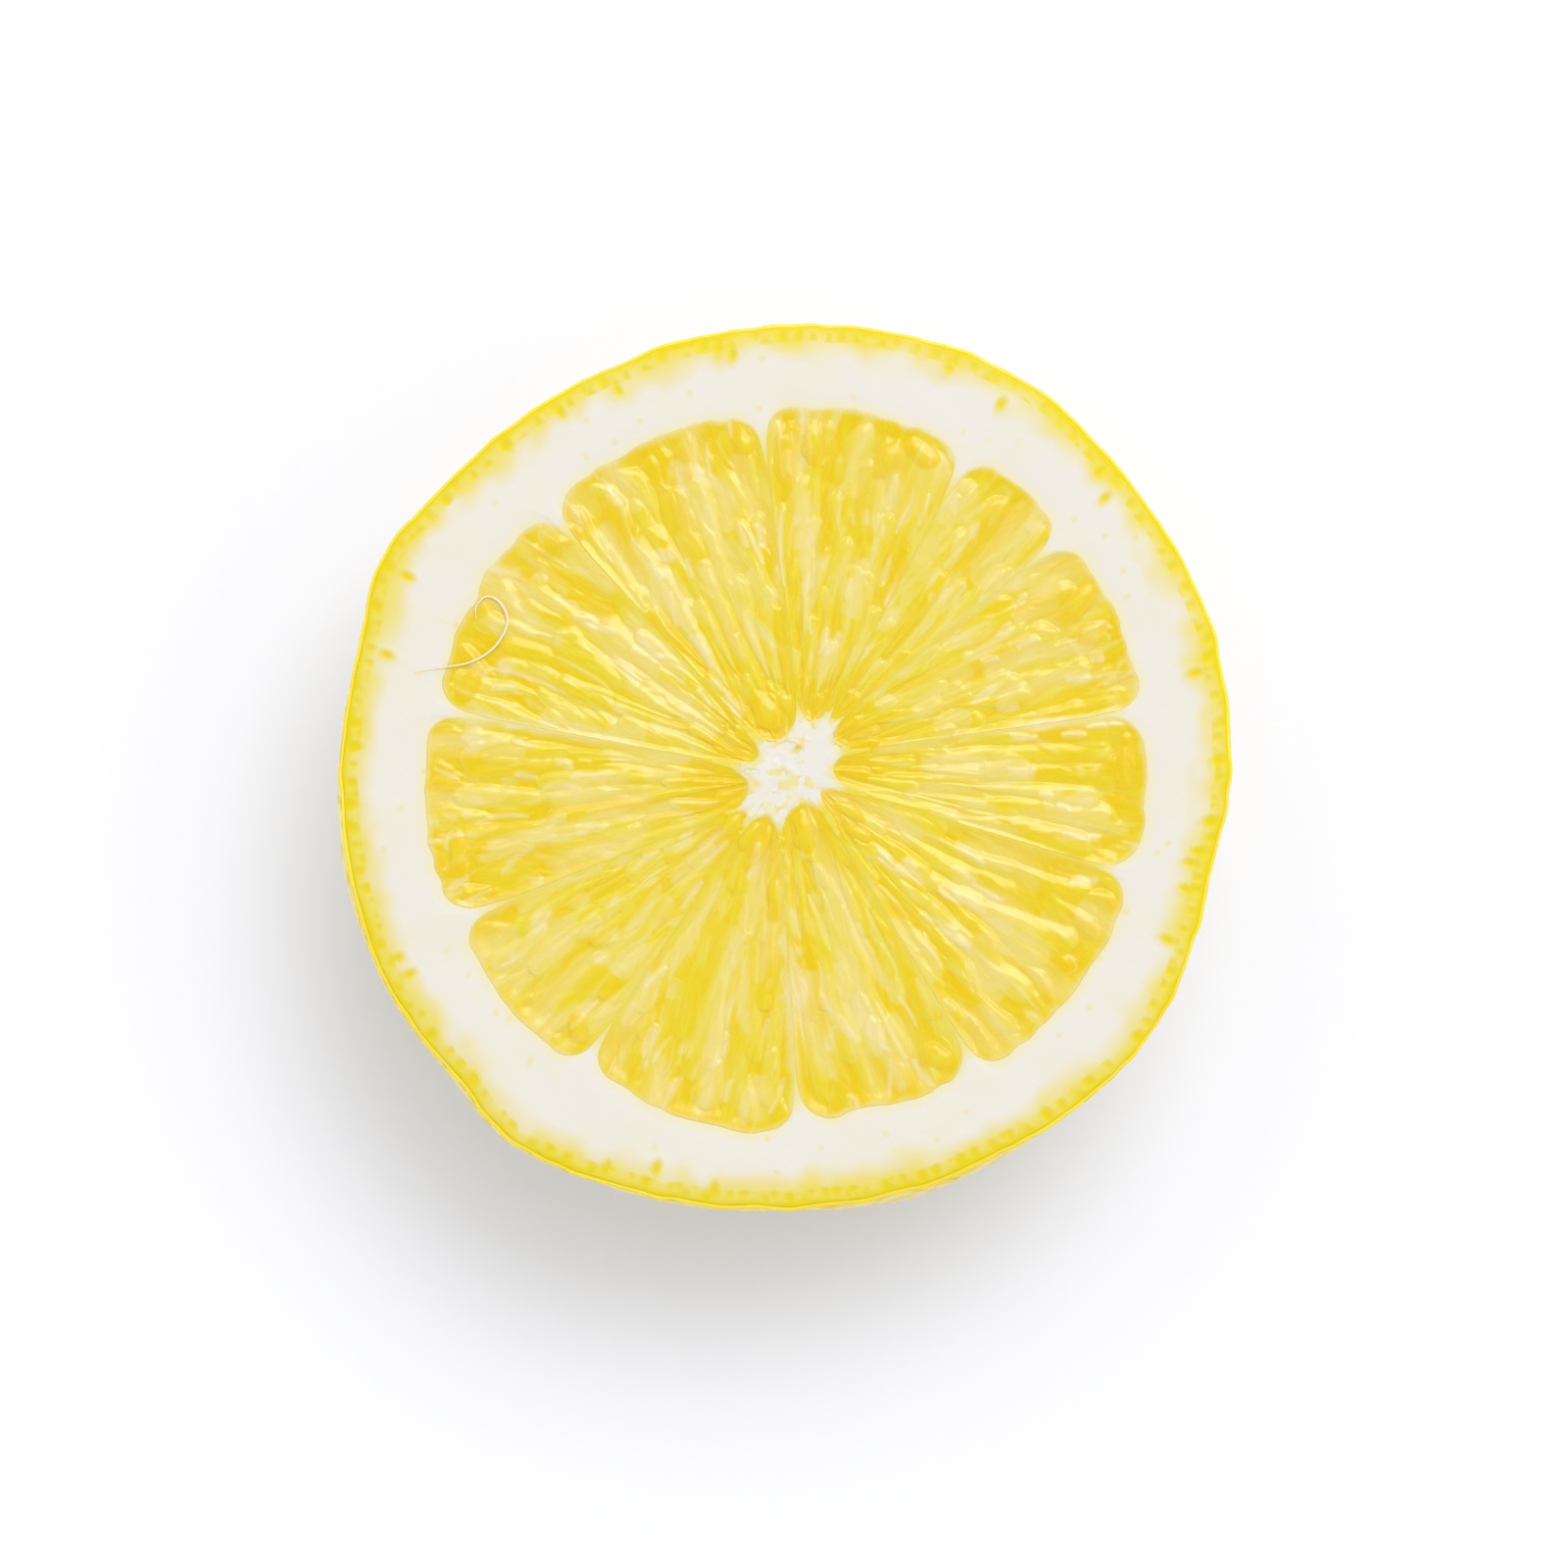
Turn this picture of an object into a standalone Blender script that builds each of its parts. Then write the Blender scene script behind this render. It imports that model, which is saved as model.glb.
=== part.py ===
"""Half a lemon, cut across its middle and laid with the cut face up.

It stands on a small flat at its blunt stem end. Peel, pith, flesh and core are one piece, so it is
one closed solid. The cut face carries them as relief: a level ring of pith, eleven slightly sunken
wedges of flesh with thin walls between them, and a star-shaped core. Lengths are in millimetres
until the vertices are placed. +Z is up, and the origin is on the flat, under the middle of the body.
"""

import math

import bmesh
import bpy

NODE = "lemon_half"
METRES = 0.001

# The body under the cut face
HALF_HEIGHT = 36.0
TIP_DEPTH = 37.3
GIRTH_POWER = 2.25
TIP_POWER = 0.53
MEAN_RADIUS = 30.1
BELLY = 0.3
BELLY_DEPTH = 8.0
BELLY_SPAN = 7.0
NECK = 0.08
NECK_DEPTH = 32.3
NECK_SPAN = 2.7
LEAN_ANGLE = 250.0
LEAN = 1.5
SWELLS = ((198.0, 0.55, 16.0), (293.0, 0.75, 17.0))
RIM_ROUNDING = 0.15

# Where the middle of the core stands over the origin
CORE_X = 0.58
CORE_Y = -0.1

# The rim of the cut face: direction in degrees, distance from the core
RIM = (
    (0, 29.5),
    (20, 29.9),
    (40, 30.0),
    (62, 30.65),
    (90, 30.1),
    (108, 29.9),
    (137, 30.2),
    (152, 31.05),
    (166, 30.3),
    (190, 30.55),
    (210, 30.7),
    (222, 30.6),
    (233, 31.25),
    (246, 30.3),
    (270, 29.4),
    (300, 29.3),
    (324, 29.9),
    (346, 29.05),
)

# Each wall between wedges: direction at its outer end, direction and distance of its inner end,
# then the wedge on its anticlockwise side: distance of its inner tip and of its outer end
WALLS = (
    (10.0, 22.0, 3.4, 3.5, 24.15),
    (41.0, 48.0, 4.6, 4.3, 24.4),
    (61.0, 57.0, 4.6, 3.6, 24.6),
    (95.0, 83.0, 3.8, 2.2, 24.15),
    (133.0, 138.0, 2.8, 2.35, 24.3),
    (170.0, 174.0, 3.4, 2.9, 24.7),
    (204.0, 215.0, 4.2, 4.0, 24.6),
    (234.5, 228.0, 4.3, 3.3, 24.2),
    (271.0, 257.0, 3.5, 2.15, 23.3),
    (302.0, 314.0, 2.5, 2.4, 24.0),
    (343.0, 342.0, 3.3, 2.6, 23.7),
)
FOOT_RADIUS = 23.5
CORNER_DROP = 1.3
CORNER_POWER = 8
TIP_ROUNDING = 2.5
FLESH_DEPTH = 0.45
WALL_HALF = 0.35
SLOPE = 0.45
CORE_DIP = 0.3

# How finely the surface is divided
COLUMN_WIDTH = 2.5
WEDGE_RINGS = (0.0, 0.08, 0.25, 0.45, 0.65, 0.84, 0.97, 1.0)
SIDE_DEPTHS = (1.5, 4.0, 7.5, 11.5, 15.5, 19.5, 23.0, 26.0, 28.6, 30.8, 32.6, 34.1, 35.2, HALF_HEIGHT)

PEEL_COLOUR = (0.87, 0.70, 0.02, 1.0)
PEEL_ROUGHNESS = 0.35


def around(knots, angle):
    """Reads a closed list of (angle, value) at any angle, on a smooth curve through its points."""
    angle = angle % 360.0
    count = len(knots)
    last = max((i for i in range(count) if knots[i][0] <= angle), default=count - 1)
    near = []
    for step in (-1, 0, 1, 2):
        index = last + step
        turn = 360.0 * (index // count)
        near.append((knots[index % count][0] + turn, knots[index % count][1]))
    (a0, v0), (a1, v1), (a2, v2), (a3, v3) = near
    if angle < a1:
        angle += 360.0
    span = a2 - a1
    t = (angle - a1) / span
    rise1 = (v2 - v0) / (a2 - a0) * span
    rise2 = (v3 - v1) / (a3 - a1) * span
    return (
        v1 * (1 + 2 * t) * (1 - t) ** 2
        + rise1 * t * (1 - t) ** 2
        + v2 * t * t * (3 - 2 * t)
        + rise2 * t * t * (t - 1)
    )


def wall_angle(wall, radius):
    """Direction of a straight wall at a distance from the core, for a wall that passes beside it."""
    outer, inner, inner_radius = wall[:3]
    offset = (inner - outer) / (1 / inner_radius - 1 / FOOT_RADIUS)
    reach = min(max(radius, inner_radius), FOOT_RADIUS)
    return outer + offset * (1 / reach - 1 / FOOT_RADIUS)


def wedge_pairs():
    """Each wall with the next one, whose angles are carried past 360 where the ring closes."""
    for i, wall in enumerate(WALLS):
        after = WALLS[(i + 1) % len(WALLS)]
        if i + 1 == len(WALLS):
            after = (after[0] + 360.0, after[1] + 360.0) + after[2:]
        yield wall, after


def columns():
    """The columns round the face, as (wall, next wall, place across the wedge from -1 to 1)."""
    found = []
    for wall, after in wedge_pairs():
        inside = round((after[0] - wall[0]) / COLUMN_WIDTH)
        found.append((wall, after, -1.0, 0.0))
        found.append((wall, after, -1.0, WALL_HALF))
        for k in range(1, inside):
            found.append((wall, after, 2.0 * k / inside - 1.0, 0.0))
        found.append((wall, after, 1.0, -WALL_HALF))
    return found


def column_angle(column, radius):
    """Direction of a column where it crosses a ring, in degrees."""
    wall, after, across, aside = column
    low = wall_angle(wall, radius)
    high = wall_angle(after, radius)
    aside_angle = math.degrees(aside / max(radius, FOOT_RADIUS / 5))
    return low + (high - low) * (across + 1) / 2 + aside_angle


def face_ring(column, ring):
    """Radius and depth below the cut plane of one ring of the cut face, in a column."""
    wall, after, across, aside = column
    on_wall = abs(across) == 1.0 and aside == 0.0
    arm = wall[2] if across < 0 else after[2]
    tip = wall[3] + (arm - wall[3]) * abs(across) ** TIP_ROUNDING
    end = wall[4] - CORNER_DROP * abs(across) ** CORNER_POWER
    depth = 0.0 if on_wall else FLESH_DEPTH
    if ring == 0:
        return 0.55 * tip, CORE_DIP
    if ring == 1:
        return tip, CORE_DIP / 2
    last_wedge = 2 + len(WEDGE_RINGS)
    if ring < last_wedge:
        share = WEDGE_RINGS[ring - 2]
        return tip + SLOPE + (end - tip - 2 * SLOPE) * share, depth
    rim = around(RIM, column_angle(column, FOOT_RADIUS))
    pith = (end, 0.5 * (end + rim), rim - 1.7, rim - RIM_ROUNDING)
    return pith[ring - last_wedge], 0.0


FACE_RINGS = 2 + len(WEDGE_RINGS) + 4


def bump(distance, span):
    """A smooth hill, 1 at its top."""
    return math.exp(-((distance / span) ** 2))


def girth(depth):
    """Radius of the body at a depth below the cut face, as a share of its radius at the rim."""
    full = (1 - (depth / TIP_DEPTH) ** GIRTH_POWER) ** TIP_POWER
    return full * (1 - NECK * bump(depth - NECK_DEPTH, NECK_SPAN))


def side_point(angle, depth):
    """Place of the peel in a direction and at a depth, about the core."""
    evened = (depth / HALF_HEIGHT) ** 1.5
    radius = around(RIM, angle) * (1 - evened) + MEAN_RADIUS * evened
    belly = BELLY
    for place, height, span in SWELLS:
        away = (angle - place + 180.0) % 360.0 - 180.0
        belly += height * bump(away, span)
    rise = bump(depth - BELLY_DEPTH, BELLY_SPAN) - bump(BELLY_DEPTH, BELLY_SPAN) * girth(depth)
    radius = radius * girth(depth) + belly * max(rise, 0.0)
    lean = LEAN * math.sin(0.5 * math.pi * depth / HALF_HEIGHT)
    x = radius * math.cos(math.radians(angle)) + lean * math.cos(math.radians(LEAN_ANGLE))
    y = radius * math.sin(math.radians(angle)) + lean * math.sin(math.radians(LEAN_ANGLE))
    return x, y


def place(column, ring):
    """Place of one vertex of the body, in metres."""
    if ring < FACE_RINGS:
        radius, depth = face_ring(column, ring)
        angle = math.radians(column_angle(column, radius))
        x, y = radius * math.cos(angle), radius * math.sin(angle)
    else:
        levels = (RIM_ROUNDING,) + SIDE_DEPTHS
        depth = levels[ring - FACE_RINGS]
        x, y = side_point(column_angle(column, FOOT_RADIUS), depth)
    z = HALF_HEIGHT - depth
    return (CORE_X + x) * METRES, (CORE_Y + y) * METRES, z * METRES


def turned_blank(bm, steps, rings):
    """A plain tube of one-unit rings, spun from a straight chain of points, closed at both ends."""
    chain = [bm.verts.new((1.0, 0.0, -ring)) for ring in range(rings)]
    edges = [bm.edges.new(pair) for pair in zip(chain, chain[1:])]
    bmesh.ops.spin(
        bm,
        geom=chain + edges,
        axis=(0.0, 0.0, 1.0),
        cent=(0.0, 0.0, 0.0),
        angle=2 * math.pi,
        steps=steps,
        use_merge=True,
    )
    open_edges = [edge for edge in bm.edges if edge.is_boundary]
    caps = bmesh.ops.edgeloop_fill(bm, edges=open_edges)["faces"]
    return max(caps, key=lambda face: face.calc_center_median().z)


def make_lemon():
    """Spins the blank, moves each of its vertices to its place on the fruit, and domes the core."""
    ring_columns = columns()
    rings = FACE_RINGS + 1 + len(SIDE_DEPTHS)
    bm = bmesh.new()
    top = turned_blank(bm, len(ring_columns), rings)
    step = 2 * math.pi / len(ring_columns)
    for vert in bm.verts:
        turn = math.atan2(vert.co.y, vert.co.x) % (2 * math.pi)
        column = ring_columns[round(turn / step) % len(ring_columns)]
        vert.co = place(column, round(-vert.co.z))
    middle = bmesh.ops.poke(bm, faces=[top])["verts"][0]
    middle.co = (CORE_X * METRES, CORE_Y * METRES, (HALF_HEIGHT - CORE_DIP / 2) * METRES)
    bmesh.ops.recalc_face_normals(bm, faces=bm.faces)
    mesh = bpy.data.meshes.new(NODE)
    bm.to_mesh(mesh)
    bm.free()
    mesh.shade_smooth()
    mesh.set_sharp_from_angle(angle=math.radians(40.0))
    return mesh


def peel_material():
    """Waxy yellow peel."""
    material = bpy.data.materials.new("lemon_peel")
    material.use_nodes = True
    shader = material.node_tree.nodes["Principled BSDF"]
    shader.inputs["Base Color"].default_value = PEEL_COLOUR
    shader.inputs["Roughness"].default_value = PEEL_ROUGHNESS
    shader.inputs["Metallic"].default_value = 0.0
    return material


for old in list(bpy.data.objects):
    bpy.data.objects.remove(old, do_unlink=True)

parts = bpy.data.collections.new("halved_lemon")
bpy.context.scene.collection.children.link(parts)
lemon = bpy.data.objects.new(NODE, make_lemon())
lemon.data.materials.append(peel_material())
parts.objects.link(lemon)
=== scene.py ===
# %% [markdown]
# # Half a lemon, cut face up
# A lemon cut across its middle shows four finishes at once: waxy yellow peel, a ring of soft white
# pith, wedges of wet flesh packed with juice sacs, and a spongy star of a core. The CAD gives one
# closed solid with the right outline and height. This script keeps that size and gives each finish
# a surface of its own, because wax, sponge and juice scatter light in quite different ways.

# %% Load the frame
import math

import bpy
import numpy as np
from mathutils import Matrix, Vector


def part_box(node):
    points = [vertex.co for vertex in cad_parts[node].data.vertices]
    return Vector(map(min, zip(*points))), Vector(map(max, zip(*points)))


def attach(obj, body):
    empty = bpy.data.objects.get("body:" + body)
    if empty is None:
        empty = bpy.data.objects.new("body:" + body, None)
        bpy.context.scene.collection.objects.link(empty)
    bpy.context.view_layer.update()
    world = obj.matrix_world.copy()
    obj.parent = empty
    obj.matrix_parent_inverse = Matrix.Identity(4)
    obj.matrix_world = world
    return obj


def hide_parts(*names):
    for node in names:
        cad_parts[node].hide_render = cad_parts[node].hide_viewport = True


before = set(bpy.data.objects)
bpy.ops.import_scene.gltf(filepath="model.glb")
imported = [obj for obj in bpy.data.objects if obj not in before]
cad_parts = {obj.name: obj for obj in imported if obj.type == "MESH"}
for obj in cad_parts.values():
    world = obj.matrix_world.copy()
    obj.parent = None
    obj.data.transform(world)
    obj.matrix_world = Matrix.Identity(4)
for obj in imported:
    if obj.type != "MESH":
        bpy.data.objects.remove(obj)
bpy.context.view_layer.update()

MM = 0.001
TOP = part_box("lemon_half")[1].z / MM
print(f"the cut face lies {TOP:.1f} mm above the table")

# %% [markdown]
# ## The plan of the cut face
# The rim is a lumpy circle, so it is a short list of directions and distances with a smooth curve
# through them. A wall between two wedges is a straight line that misses the middle a little, as the
# core is never quite in the middle of a lemon. Directions are in degrees, anticlockwise from +X,
# and lengths are in millimetres, because those are the units in which one measures a lemon.

# %% Rim, walls and body
CORE = np.array([0.58, -0.1])
RIM = [(0, 29.5), (20, 29.9), (40, 30.0), (62, 30.65), (90, 30.1), (108, 29.9), (137, 30.2)]
RIM += [(152, 31.05), (166, 30.3), (190, 30.55), (210, 30.7), (222, 30.6), (233, 31.25)]
RIM += [(246, 30.3), (270, 29.4), (300, 29.3), (324, 29.9), (346, 29.05)]

# Each wall: direction of its outer end, direction and distance of its inner end, then the wedge on
# its anticlockwise side: distance of its inner tip and of its outer end.
WALLS = [
    (10.0, 22.0, 3.4, 3.5, 24.15),
    (41.0, 48.0, 4.6, 4.3, 24.4),
    (61.0, 57.0, 4.6, 3.6, 24.6),
    (95.0, 83.0, 3.8, 2.2, 24.15),
    (133.0, 138.0, 2.8, 2.35, 24.3),
    (170.0, 174.0, 3.4, 2.9, 24.7),
    (204.0, 215.0, 4.2, 4.0, 24.6),
    (234.5, 228.0, 4.3, 3.3, 24.2),
    (271.0, 257.0, 3.5, 2.15, 23.3),
    (302.0, 314.0, 2.5, 2.4, 24.0),
    (343.0, 342.0, 3.3, 2.6, 23.7),
]
WALL_FOOT = 23.5

# The plain circle on which the pores of the peel and the noise of the rim are laid out
RIM_CIRCLE = 30.0


def ease(x, low=0.0, high=1.0):
    """0 below low, 1 above high, and the cubic 3t² - 2t³ between them."""
    t = np.clip((x - low) / (high - low), 0.0, 1.0)
    return t * t * (3.0 - 2.0 * t)


def polar(radius, degrees):
    """Place in the plan: the radius times the cosine and times the sine of the direction."""
    return radius * np.cos(np.radians(degrees)), radius * np.sin(np.radians(degrees))


def turn_from(start, degrees):
    """Degrees from one direction to another, brought between -180 and 180."""
    return np.mod(degrees - start + 180.0, 360.0) - 180.0


def around(knots, degrees):
    """A closed curve through (direction, value) knots: a cubic between each two, whose slope at a
    knot is that of the line from the knot before it to the knot after it."""
    a, v = np.array(knots, float).T
    a = np.concatenate([a[-2:] - 360.0, a, a[:3] + 360.0])
    v = np.concatenate([v[-2:], v, v[:3]])
    turn = np.mod(degrees, 360.0)
    i = np.searchsorted(a, turn, side="right") - 1
    span = a[i + 1] - a[i]
    t = (turn - a[i]) / span
    rise_in = (v[i + 1] - v[i - 1]) / (a[i + 1] - a[i - 1]) * span
    rise_out = (v[i + 2] - v[i]) / (a[i + 2] - a[i]) * span
    line = v[i] * (1 + 2 * t) * (1 - t) ** 2 + v[i + 1] * t * t * (3 - 2 * t)
    return line + rise_in * t * (1 - t) ** 2 + rise_out * t * t * (t - 1)


def wall_direction(wall, radius):
    """Direction of a wall at a distance from the core: its outer direction plus an offset that
    grows with one over the distance, as for any straight line that passes beside the middle."""
    outer, inner, inner_radius = wall[:3]
    offset = (inner - outer) / (1 / inner_radius - 1 / WALL_FOOT)
    return outer + offset * (1 / np.maximum(radius, inner_radius) - 1 / WALL_FOOT)


def next_wall(i):
    """The wall on the anticlockwise side of wedge i, with its directions past those of wall i."""
    wall = WALLS[(i + 1) % len(WALLS)]
    turn = 360.0 if i + 1 == len(WALLS) else 0.0
    return (wall[0] + turn, wall[1] + turn) + wall[2:]


whole_rim = around(RIM, np.arange(360.0))
print(f"rim {whole_rim.min():.1f} to {whole_rim.max():.1f} mm from the core")

# %% [markdown]
# ## Tools for uneven surfaces
# Fruit has no straight edges and no two cells alike. Two small tools give that unevenness in every
# surface below: a cloud of soft noise, and a field of spots laid out in rows, each nudged off its
# place. Both work on whole arrays at once, and the same seed always gives the same lemon.

# %% Noise and spots
# Side of a table of random numbers, after which the noise repeats
TABLE = 61


def cloud(x, y, cell, seed):
    """Soft noise from -1 to 1: random heights on a square lattice of the given cell, with a cubic
    ease between the four corners round a point."""
    table = np.random.default_rng(seed).uniform(-1, 1, (TABLE, TABLE))
    gx, gy = np.asarray(x) / cell, np.asarray(y) / cell
    ix, iy = np.floor(gx).astype(int), np.floor(gy).astype(int)
    tx, ty = ease(gx - ix), ease(gy - iy)
    left, right, low, high = ix % TABLE, (ix + 1) % TABLE, iy % TABLE, (iy + 1) % TABLE
    near = table[left, low] * (1 - tx) + table[right, low] * tx
    far = table[left, high] * (1 - tx) + table[right, high] * tx
    return near * (1 - ty) + far * ty


def spots(place, degrees, rows, radii, pitch, jitter, seed):
    """Distance in mm to the nearest of many spots, and a number from 0 to 1 that tells the spots
    apart. Row j lies at rows[j] along `place` and holds as many spots of the given pitch as its
    circle of radius radii[j] has room for. Each is moved by up to jitter times the pitch."""
    rng = np.random.default_rng(seed)
    counts = np.maximum(np.round(2 * np.pi * radii / pitch).astype(int), 1)
    widest = counts.max()
    shift_along = rng.uniform(-jitter, jitter, (len(rows), widest)) * pitch
    shift_round = rng.uniform(-jitter, jitter, (len(rows), widest)) * pitch
    name = rng.uniform(0, 1, (len(rows), widest))
    phase = rng.uniform(0, 1, len(rows))
    best = np.full(np.shape(place), 1e9)
    who = np.zeros(np.shape(place))
    step = (rows[-1] - rows[0]) / (len(rows) - 1)
    base = np.clip(np.round((place - rows[0]) / step).astype(int), 0, len(rows) - 1)
    for down in (-1, 0, 1):
        j = np.clip(base + down, 0, len(rows) - 1)
        share = np.mod(degrees / 360.0, 1.0) * counts[j] + phase[j]
        for side in (-1, 0, 1):
            k = np.round(share).astype(int) + side
            ring = k % counts[j]
            aside = (share - k) / counts[j] * 2 * np.pi * radii[j] - shift_round[j, ring]
            away = np.hypot(aside, place - rows[j] - shift_along[j, ring])
            closer = away < best
            best = np.where(closer, away, best)
            who = np.where(closer, name[j, ring], who)
    return best, who


def rim_radius(degrees):
    """The lumpy circle of the rim, plus noise of two sizes for the bumps that glands leave."""
    x, y = polar(RIM_CIRCLE, degrees)
    return around(RIM, degrees) + 0.08 * cloud(x, y, 1.3, 3) + 0.09 * cloud(x, y, 2.4, 4)


bumps = np.abs(rim_radius(np.arange(360.0)) - whole_rim)
print(f"bumps move the rim by up to {bumps.max():.2f} mm")

# %% [markdown]
# ## From arrays to closed meshes
# Everything here is either a round body, whose rings run from one pole to the other, or a wedge,
# which is a sheet with a skirt and a floor. Both come as plain arrays, so the faces follow from the
# grid's row and column numbers. The vertices carry named values, which the materials read later.

# %% Mesh helpers


def into_scene(name, data):
    """Makes an object of a mesh, a light or a camera, and puts it into the scene."""
    made = bpy.data.objects.new(name, data)
    bpy.context.scene.collection.objects.link(made)
    return made


def make_piece(name, points, quads, triangles, values, lie=None, soft=None):
    """Puts arrays of points (mm) and faces into a mesh object that rides with the lemon. `lie` is a
    flat map of the points in mm, along which a material can draw its fibres. Only the first
    `soft` faces are shaded smooth, so that a hidden skirt doesn't darken the border above it."""
    faces = [quads, triangles]
    corners = np.concatenate([f.ravel() for f in faces])
    totals = np.concatenate([np.full(len(f), f.shape[1]) for f in faces])
    mesh = bpy.data.meshes.new(name)
    mesh.vertices.add(len(points))
    mesh.vertices.foreach_set("co", (points * MM).astype(np.float32).ravel())
    mesh.loops.add(len(corners))
    mesh.loops.foreach_set("vertex_index", corners.astype(np.int32))
    mesh.polygons.add(len(totals))
    mesh.polygons.foreach_set("loop_start", (np.cumsum(totals) - totals).astype(np.int32))
    mesh.polygons.foreach_set("loop_total", totals.astype(np.int32))
    mesh.update(calc_edges=True)
    for label, value in values.items():
        layer = mesh.attributes.new(label, "FLOAT", "POINT")
        layer.data.foreach_set("value", value.astype(np.float32).ravel())
    if lie is not None:
        flat_map = mesh.uv_layers.new(name="lie")
        flat_map.data.foreach_set("uv", lie[corners].astype(np.float32).ravel())
    smooth = np.arange(len(totals)) < (len(totals) if soft is None else soft)
    mesh.polygons.foreach_set("use_smooth", smooth)
    piece = into_scene(name, mesh)
    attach(piece, "root")
    print(f"{name}: {len(points)} points, {len(quads) * 2 + len(triangles)} triangles")
    return piece


def ring_grid(rings, columns):
    """Two grids for a body of rings: each ring's own value, and the direction of each column."""
    return np.meshgrid(rings, np.arange(columns) * 360.0 / columns, indexing="ij")


def grid_quads(rows, columns, closed):
    """Four corners for each cell of a grid, wound so that row cross column points out."""
    i = np.arange(rows - 1)[:, None]
    j = np.arange(columns if closed else columns - 1)[None, :]
    k = (j + 1) % columns
    cells = [i * columns + j, (i + 1) * columns + j, (i + 1) * columns + k, i * columns + k]
    return np.stack(np.broadcast_arrays(*cells), axis=-1).reshape(-1, 4)


def end_fans(rows, columns):
    """Triangles that close the first and the last ring of a body, round its last two points."""
    j = np.arange(columns)
    k = (j + 1) % columns
    last = (rows - 1) * columns
    first_fan = np.stack([np.full(columns, rows * columns), j, k], axis=-1)
    last_fan = np.stack([last + j, np.full(columns, rows * columns + 1), last + k], axis=-1)
    return np.concatenate([first_fan, last_fan])


def with_skirt(x, y, z, degrees, skirt, fields):
    """Rings of a body with the hidden rings of its skirt added, each as radius and height. The
    skirt carries the values of the body's last ring."""
    low = np.array([(*polar(radius, degrees), 0 * degrees + height) for radius, height in skirt])
    rings = [np.concatenate([ring, low[:, k]]) for k, ring in enumerate((x, y, z))]
    rows = np.minimum(np.arange(len(rings[0])), len(x) - 1)
    return *rings, {label: value[rows] for label, value in fields.items()}


def round_body(name, x, y, z, poles, values, hidden=0):
    """A closed body from rings, the first round the upper pole and the last round the lower one.
    The last `hidden` rings are a skirt that isn't seen."""
    rows, columns = x.shape
    grid = np.stack([x + CORE[0], y + CORE[1], z + TOP], axis=-1).reshape(-1, 3)
    tips = np.array(poles, float) + [CORE[0], CORE[1], TOP]
    points = np.concatenate([grid, tips])
    fans = end_fans(rows, columns)
    both = {n: np.concatenate([v.ravel(), v[0, :1], v[-1, :1]]) for n, v in values.items()}
    soft = (rows - 1 - hidden) * columns if hidden else None
    return make_piece(name, points, grid_quads(rows, columns, True), fans, both, soft=soft)


def skirted_sheet(name, x, y, z, floor, values, lie):
    """A closed body from an open grid: its border drops to the floor, which a fan closes."""
    rows, columns = x.shape
    index = np.arange(rows * columns).reshape(rows, columns)
    border = np.concatenate([index[:-1, 0], index[-1, :-1], index[:0:-1, -1], index[0, :0:-1]])
    top = np.stack([x + CORE[0], y + CORE[1], z + TOP], axis=-1).reshape(-1, 3)
    low = top[border].copy()
    low[:, 2] = floor + TOP
    centre = low.mean(axis=0, keepdims=True)
    count = len(border)
    here = rows * columns + np.arange(count)
    there = rows * columns + (np.arange(count) + 1) % count
    skirt = np.stack([here, there, np.roll(border, -1), border], axis=-1)
    fan = np.stack([np.full(count, rows * columns + count), there, here], axis=-1)
    top_quads = grid_quads(rows, columns, False)
    quads = np.concatenate([top_quads, skirt])
    rest = np.concatenate([border, [0]])
    every = {n: np.concatenate([v.ravel(), v.ravel()[rest]]) for n, v in values.items()}
    flat = np.concatenate([lie, lie[rest]])
    points = np.concatenate([top, low, centre])
    return make_piece(name, points, quads, fan, every, flat, len(top_quads))


# %% [markdown]
# ## Peel
# Lemon peel is smooth wax over a layer of oil glands. Each gland leaves a shallow pit in the skin,
# about a millimetre and a half from the next. A bump map alone would give pits without an outline,
# so the pits are in the mesh, and the material adds the finest grain and a painted shade in the
# pits.
# The body leans a little to one side, as on any lemon, so its flank shows past the rim there. At
# the cut the skin is free to relax, so it curls down by a quarter of a millimetre.

# %% Peel shape
TIP_DEPTH, GIRTH_POWER, TIP_POWER = 37.3, 2.25, 0.53
MEAN_RADIUS = 30.1
BELLY, BELLY_DEPTH, BELLY_SPAN = 0.3, 8.0, 7.0
NECK, NECK_DEPTH, NECK_SPAN = 0.08, 32.3, 2.7
LEAN_ANGLE, LEAN = math.radians(250.0), 1.5
SWELLS = [(198.0, 0.55, 16.0), (293.0, 0.75, 17.0)]
PORE_PITCH, PORE_WIDTH, PORE_DEPTH = 1.5, 0.62, 0.27

# How far the cut skin curls down at its very rim, and over what width
DROOP, DROOP_WIDTH = 0.26, 2.4
PEEL_COLUMNS, PEEL_RINGS = 600, 136
PEEL_FLOOR = -3.2


def hill(distance, span):
    """A smooth hill, 1 at its top: e to the minus of the squared distance over the span."""
    return np.exp(-((distance / span) ** 2))


def girth(depth):
    """Share of the rim's radius that is left at a depth: one less a power of the depth, all to
    another power, and narrowed by a hill where the stem end has its neck."""
    full = (1 - (depth / TIP_DEPTH) ** GIRTH_POWER) ** TIP_POWER
    return full * (1 - NECK * hill(depth - NECK_DEPTH, NECK_SPAN))


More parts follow.
